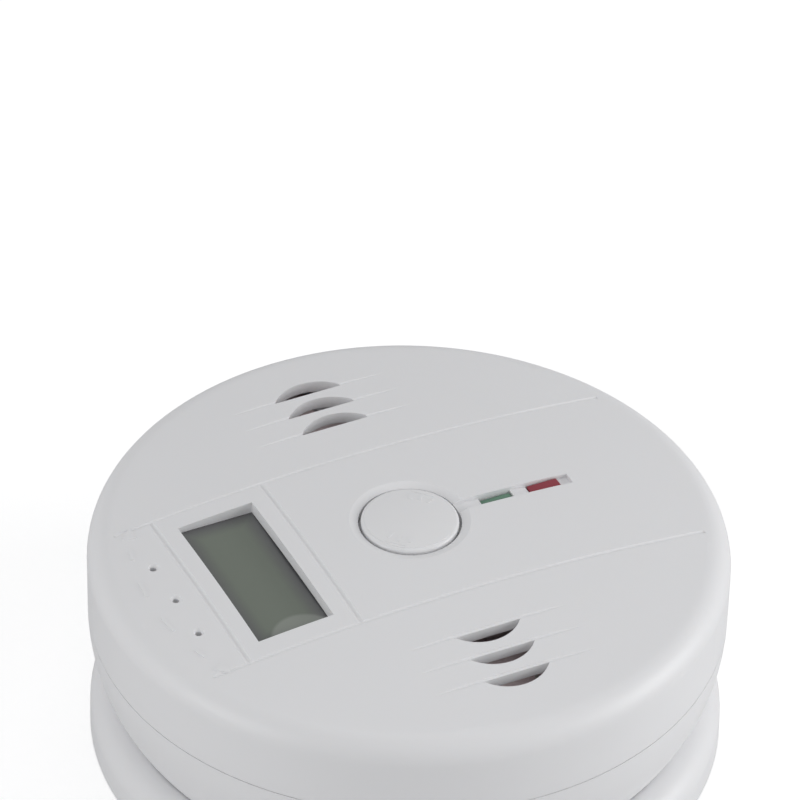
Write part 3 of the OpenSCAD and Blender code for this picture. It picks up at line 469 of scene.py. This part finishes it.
# a wide pale floor, which is not part of the object
def makeFloor():
    half = studio["floorSize"] / 2
    floorMesh = bpy.data.meshes.new("paleFloor")
    corners = [(-half, -half), (half, -half), (half, half), (-half, half)]
    floorMesh.from_pydata([(x, y, -studio["floorDrop"]) for x, y in corners], [], [(0, 1, 2, 3)])
    floor = bpy.data.objects.new("paleFloor", floorMesh)
    bpy.context.scene.collection.objects.link(floor)
    material, tree, shader = newMaterial("paleFloor")
    place = tree.nodes.new("ShaderNodeTexCoord").outputs["Object"]
    paper = noiseAt(tree, place, 40.0, 4.0)
    colour = mixColour(tree, paper, (0.69, 0.69, 0.69), (0.71, 0.71, 0.71))
    tree.links.new(colour, shader.inputs["Base Color"])
    shader.inputs["Roughness"].default_value = 0.9
    # the floor is lit paper: it glows for the camera, and only its plain colour lights the object
    seen = tree.nodes.new("ShaderNodeLightPath").outputs["Is Camera Ray"]
    glow = mathNode(tree, "MULTIPLY", seen, studio["floorGlow"])
    tree.links.new(glow, shader.inputs["Emission Strength"])
    shader.inputs["Emission Color"].default_value = (1, 1, 1, 1)
    floorMesh.materials.append(material)


makeFloor()


# a closed surface from rings of points, shape (rows, around, 3), each ring closed on itself.
# One point, a pole, closes each end. Gives the points and the faces as arrays of indices.
def closedSurface(rings, startPole, endPole):
    rows, around = rings.shape[:2]
    points = np.vstack([rings.reshape(-1, 3), startPole, endPole])
    row, column = np.meshgrid(np.arange(rows - 1), np.arange(around), indexing="ij")
    after = (column + 1) % around
    sides = np.stack([row * around + column, row * around + after,
                      (row + 1) * around + after, (row + 1) * around + column], axis=-1)
    step = np.arange(around)
    following = (step + 1) % around
    lastRing = (rows - 1) * around
    startFan = np.stack([np.full(around, rows * around), following, step], axis=-1)
    endFan = np.stack([np.full(around, rows * around + 1), lastRing + step,
                       lastRing + following], axis=-1)
    return points, [sides.reshape(-1, 4), startFan, endFan]


# several surfaces as one piece on the alarm body, smooth except where faces meet sharply
def makePiece(name, surfaces, nodeName, finish):
    sharpAngle = 40.0
    allPoints, allFaces, count = [], [], 0
    for points, faceArrays in surfaces:
        allPoints.append(points)
        for faces in faceArrays:
            allFaces += (faces + count).tolist()
        count += len(points)
    mesh = bpy.data.meshes.new(name)
    mesh.from_pydata(np.vstack(allPoints).tolist(), [], allFaces)
    mesh.validate()
    mesh.polygons.foreach_set("use_smooth", np.ones(len(mesh.polygons), dtype=bool))
    mesh.set_sharp_from_angle(angle=math.radians(sharpAngle))
    mesh.materials.append(materials[finish])
    piece = bpy.data.objects.new(name, mesh)
    bpy.context.scene.collection.objects.link(piece)
    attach(piece, "alarm")
    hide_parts(nodeName)
    return piece


# a profile of radius and height turned about the axis through centre:
# x is radius times cosine, y is radius times sine, z is height. The axis may be laid along Y
def revolved(profile, centre, around=64, axis="Z"):
    profile = np.array(profile, dtype=float) * mm
    turn = np.linspace(0, 2 * math.pi, around, endpoint=False)
    radius, height = profile[:, :1], profile[:, 1:]
    rings = np.stack([radius * np.cos(turn), radius * np.sin(turn),
                      np.broadcast_to(height, (len(profile), around))], axis=-1)
    points, faces = closedSurface(rings, (0, 0, profile[0, 1]), (0, 0, profile[-1, 1]))
    if axis != "Z":
        side = 1.0 if axis == "Y" else -1.0
        points = np.stack([points[:, 0], side * points[:, 2], -side * points[:, 1]], axis=-1)
    return points + np.array(centre), faces


# points round a corner of a profile, from one angle to another about a middle
def corner(middleX, middleY, radius, start, end, steps=5):
    angles = np.radians(np.linspace(start, end, steps))
    return [(middleX + radius * math.cos(a), middleY + radius * math.sin(a)) for a in angles]


# a round wire along a path: each ring stands square to the path, held upright by reference
def sweptTube(path, radius, sides=16, reference=(0.0, 0.0, 1.0)):
    path = np.array(path, dtype=float)
    ahead = np.gradient(path, axis=0)
    ahead /= np.linalg.norm(ahead, axis=1, keepdims=True)
    side = np.cross(ahead, np.array(reference))
    side /= np.linalg.norm(side, axis=1, keepdims=True)
    up = np.cross(side, ahead)
    turn = np.linspace(0, 2 * math.pi, sides, endpoint=False)[None, :, None]
    rings = path[:, None] + radius * (np.cos(turn) * side[:, None] + np.sin(turn) * up[:, None])
    return closedSurface(rings[:, ::-1], path[0], path[-1])


# a box with rounded upright corners and softened top and bottom edges.
# each ring is the outline drawn in by the edge's rounding at that height
def roundedSlab(low, high, cornerR, edgeR, steps=4):
    low, high = np.array(low), np.array(high)
    middle = (low + high) / 2
    half = (high - low) / 2
    quarter = np.linspace(0, math.pi / 2, steps + 1)
    edge = np.concatenate([-np.pi / 2 + quarter, quarter])
    turn = np.concatenate([quarter + k * math.pi / 2 for k in range(4)])
    signX = np.repeat([1, -1, -1, 1], steps + 1)
    signY = np.repeat([1, 1, -1, -1], steps + 1)
    rings = []
    for index, angle in enumerate(edge):
        inset = edgeR * (1 - math.cos(angle))
        height = (low[2] + edgeR if index <= steps else high[2] - edgeR) + edgeR * math.sin(angle)
        radius = max(cornerR - inset, 0.05 * cornerR)
        ring = np.stack([middle[0] + signX * (half[0] - inset - radius) + radius * np.cos(turn),
                         middle[1] + signY * (half[1] - inset - radius) + radius * np.sin(turn),
                         np.full(len(turn), height)], axis=-1)
        rings.append(ring)
    return closedSurface(np.array(rings), (middle[0], middle[1], low[2]),
                         (middle[0], middle[1], high[2]))


# a coil's path: its radius goes evenly from one to the other, and its height is a mix of
# an even rise and half a cosine wave, so that the end turns lie flatter
def coilPath(r1, r2, z1, z2, turns, perTurn=40):
    flatness = 0.35
    share = np.linspace(0, 1, int(turns * perTurn) + 1)
    radius = (r1 + (r2 - r1) * share) * mm
    rise = (1 - np.cos(np.pi * share)) / 2 * flatness + share * (1 - flatness)
    turn = 2 * np.pi * turns * share
    return np.stack([radius * np.cos(turn), radius * np.sin(turn),
                     (z1 + (z2 - z1) * rise) * mm], axis=-1)


# the lights: clear blocks with a foot, their edges rounded
def makeLights():
    look = {"foot": 1.2, "footSide": 0.4, "footEnd": 0.3, "corner": 0.35, "edge": 0.25,
            "footEdge": 0.1}
    for nodeName, finish in (("green_led", "green_lens"), ("red_led", "red_lens")):
        low, high = (np.array(v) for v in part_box(nodeName))
        step = np.array([look["footSide"], look["footEnd"], 0]) * mm
        lens = roundedSlab(low + step, high - step, look["corner"] * mm, look["edge"] * mm)
        foot = roundedSlab(low, np.array([high[0], high[1], low[2] + look["foot"] * mm]),
                           look["corner"] * mm, look["footEdge"] * mm)
        makePiece(nodeName + "_lens", [lens, foot], nodeName, finish)


# the button's spring: an even round wire with flat end turns
def makeButtonSpring():
    look = {"wire": 0.25, "turns": 4.5, "keep": 0.845}
    low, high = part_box("button_spring")
    radius = (high.x - low.x) / 2 / mm - look["wire"]
    path = coilPath(radius, radius, low.z / mm + look["wire"], high.z / mm - look["wire"],
                    look["turns"])
    tube = sweptTube(path, look["wire"] * mm)
    spring = makePiece("button_spring_coil", [tube], "button_spring", "spring_steel")
    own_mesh(spring)


# the cells' cone springs, standing on their contact plates
def makeContactSprings():
    look = {"wire": 0.4, "big": 5.0, "small": 2.6, "turns": 3.5, "length": 5.7}
    low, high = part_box("contact_springs")
    cellLow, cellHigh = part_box("battery_cell_left")
    cellX = (cellLow.x + cellHigh.x) / 2
    cellZ = (cellLow.z + cellHigh.z) / 2
    parts = []
    for x, side in ((cellX, 1), (-cellX, 1), (0.0, -1)):
        wallY = high.y if side > 0 else low.y
        path = coilPath(look["big"], look["small"], look["wire"], look["wire"] + look["length"],
                        look["turns"], 36)
        laid = np.stack([path[:, 0] + x, wallY - side * path[:, 2], cellZ + path[:, 1]], axis=-1)
        parts.append(sweptTube(laid, look["wire"] * mm, 12, (0.0, 1.0, 0.0)))
    makePiece("contact_springs_coils", parts, "contact_springs", "spring_steel")


# AA cells: a crimped sleeve, a stepped base and a rounded nub
def makeCells():
    look = {"length": 50.5, "radius": 7.1, "nub": 2.6, "shoulder": 49.5, "fold": 0.5}
    edgeX = look["radius"] - look["fold"]
    profile = [(4.8, 0.0), (5.2, 0.12), (5.5, 0.18), (6.2, 0.15)]
    profile += corner(edgeX, 0.6, look["fold"], -80, 0)
    profile += [(look["radius"], z) for z in (1.6, 12.0, 33.9, 34.1, 42.0, 47.6)]
    profile += corner(edgeX, look["shoulder"] - look["fold"], look["fold"], 0, 85)
    profile += [(5.6, 49.42), (5.2, 49.15), (3.2, 49.1), (look["nub"], 49.3), (look["nub"], 50.0)]
    profile += corner(look["nub"] - 0.4, look["length"] - 0.4, 0.4, 10, 90)
    for name, axis in (("left", "-Y"), ("middle", "Y"), ("right", "-Y")):
        nodeName = "battery_cell_" + name
        low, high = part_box(nodeName)
        startY = low.y if axis == "Y" else high.y
        centre = ((low.x + high.x) / 2, startY, (low.z + high.z) / 2)
        points, faces = revolved(profile, centre, 64, axis)
        cell = makePiece(nodeName + "_sleeved", [(points, faces)], nodeName, "cell_sleeve")
        away = points - np.array(centre)
        values = np.stack([np.hypot(away[:, 0], away[:, 2]), np.abs(away[:, 1]),
                           np.zeros(len(away))], axis=-1) / mm
        own = cell.data.attributes.new("cellPlace", "FLOAT_VECTOR", "POINT")
        own.data.foreach_set("vector", values.astype(np.float32).ravel())


# a turned piece that stands on a CAD node's box, its profile given from the box's low face
def turnedOn(nodeName, profile, finish, around=64):
    low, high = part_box(nodeName)
    centre = ((low.x + high.x) / 2, (low.y + high.y) / 2, low.z)
    makePiece(nodeName + "_turned", [revolved(profile, centre, around)], nodeName, finish)


# gas sensor: a drawn can with a rolled rim at the board and a recess for its filter
def makeSensor():
    profile = [(6.0, 1.2), (6.0, 0.4)] + corner(6.4, 0.4, 0.4, 180, 270)[1:]
    profile += corner(7.6, 0.8, 0.8, -90, 0) + [(8.4, 3.0), (8.4, 9.0), (8.4, 11.0)]
    profile += corner(8.6, 11.6, 0.2, 200, 90, 3) + corner(8.7, 12.1, 0.3, -60, 90)
    turnedOn("sensor_can", profile, "sensor_metal", 96)


# electrolytic capacitors: sleeve, beaded neck and a rounded top, without its vent
def makeRearCapacitors():
    look = {"places": [(-17, 14), (-17, 22), (17, -20)],
            "neck": [(3.0, 2.4), (2.92, 2.7), (2.78, 2.9), (2.78, 3.0), (2.92, 3.2), (3.0, 3.45)]}
    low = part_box("rear_capacitors")[0]
    profile = [(2.6, 0.0)] + corner(2.7, 0.3, 0.3, -90, 0) + look["neck"]
    profile += corner(2.8, 3.7, 0.2, 0, 90)
    parts = [revolved(profile, (x * mm, y * mm, low.z), 48) for x, y in look["places"]]
    makePiece("rear_capacitors_sleeved", parts, "rear_capacitors", "capacitor_sleeve")


# the capacitor that shows through a vent
def makeFrontCapacitor():
    profile = corner(1.75, 0.25, 0.25, -90, 0) + [(2.0, 2.3), (1.9, 2.5), (1.9, 2.6), (2.0, 2.8)]
    profile += corner(1.75, 3.15, 0.25, 0, 90)
    turnedOn("front_capacitor", profile, "black_plastic", 48)


# resistors: dumb-bell bodies lying along Y
def makeResistors():
    look = {"count": 6, "radius": 1.1,
            "waist": [(1.1, 0.9), (1.05, 1.1), (0.97, 1.35), (0.95, 1.8),
                      (0.95, 3.2), (0.97, 3.65), (1.05, 3.9), (1.1, 4.1)]}
    low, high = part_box("resistors")
    profile = corner(0.8, 0.3, 0.3, -90, 0) + look["waist"] + corner(0.8, 4.7, 0.3, 0, 90)
    middle = (low.z + high.z) / 2
    radius = look["radius"] * mm
    rows = np.linspace(low.x + radius, high.x - radius, look["count"])
    parts = [revolved(profile, (x, low.y, middle), 32, "Y") for x in rows]
    makePiece("resistors_lacquered", parts, "resistors", "resistor_tan")


# drum coil: two ferrite flanges with the turns between them drawn as ridges, all in the ferrite's
# finish
def makeCoil():
    look = {"from": 1.05, "height": 2.1, "radius": 2.62, "ridge": 0.08, "turns": 8}
    profile = [(3.2, 0.0)] + corner(3.3, 0.2, 0.2, -80, 0) + corner(3.3, 0.8, 0.2, 0, 90)
    # each turn stands out by its ridge times the size of a sine
    profile += [(look["radius"] + look["ridge"] * abs(math.sin(share * look["turns"] * math.pi)),
                 look["from"] + look["height"] * share) for share in np.linspace(0, 1, 57)]
    profile += corner(3.3, 3.4, 0.2, -90, 0) + corner(3.3, 4.0, 0.2, 0, 90)
    turnedOn("boost_coil", profile, "coil_ferrite", 64)


# moulded blocks: the chips get soft corners and edges
def makeBlocks():
    look = {"amplifier_chip": (0.15, 0.12), "controller_chip": (0.25, 0.18)}
    for nodeName, (cornerR, edgeR) in look.items():
        low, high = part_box(nodeName)
        makePiece(nodeName + "_moulded", [roundedSlab(low, high, cornerR * mm, edgeR * mm)],
                  nodeName, "black_plastic")


# the two leads: up from a contact's tab, across in an S and up to the board.
# the share across is a smooth step, 10q^3 - 15q^4 + 6q^5
def makeLeads():
    look = {"radius": 0.55, "steps": 49}
    for nodeName, finish in (("red_wire", "red_insulation"), ("black_wire", "black_insulation")):
        low, high = (np.array(v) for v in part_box(nodeName))
        radius = look["radius"] * mm
        side = 1.0 if nodeName == "black_wire" else -1.0
        share = np.linspace(0, 1, look["steps"])
        across = share ** 3 * (10 - 15 * share + 6 * share ** 2)
        outerX, innerX = (high[0], low[0]) if side > 0 else (low[0], high[0])
        outerY, innerY = (high[1], low[1]) if side > 0 else (low[1], high[1])
        startX, endX = outerX - side * radius, innerX + side * radius
        startY, endY = outerY - side * radius, innerY + side * radius
        path = np.stack([startX + (endX - startX) * across, startY + (endY - startY) * across,
                         low[2] + (high[2] - low[2]) * share], axis=-1)
        makePiece(nodeName + "_lead", [sweptTube(path, radius, 16, (1.0, 0.0, 0.0))], nodeName,
                  finish)


makeLights()
makeButtonSpring()
print("lights and the button's spring are made")
makeContactSprings()
makeCells()
print("cells and their springs are made")
makeSensor()
makeRearCapacitors()
makeFrontCapacitor()
makeResistors()
makeCoil()
makeBlocks()
makeLeads()
print("board parts and leads are made")


# finishes on the CAD nodes that stay
def paintNodes():
    slotOf = {s["node"]: s["material_slot"] for s in frame["record"]["subparts"]}
    for name, node in nodes.items():
        finish = materials[slotOf[name]]
        if not node.material_slots:
            node.data.materials.append(finish)
        for slot in node.material_slots:
            slot.material = finish


paintNodes()
print("CAD nodes are painted")
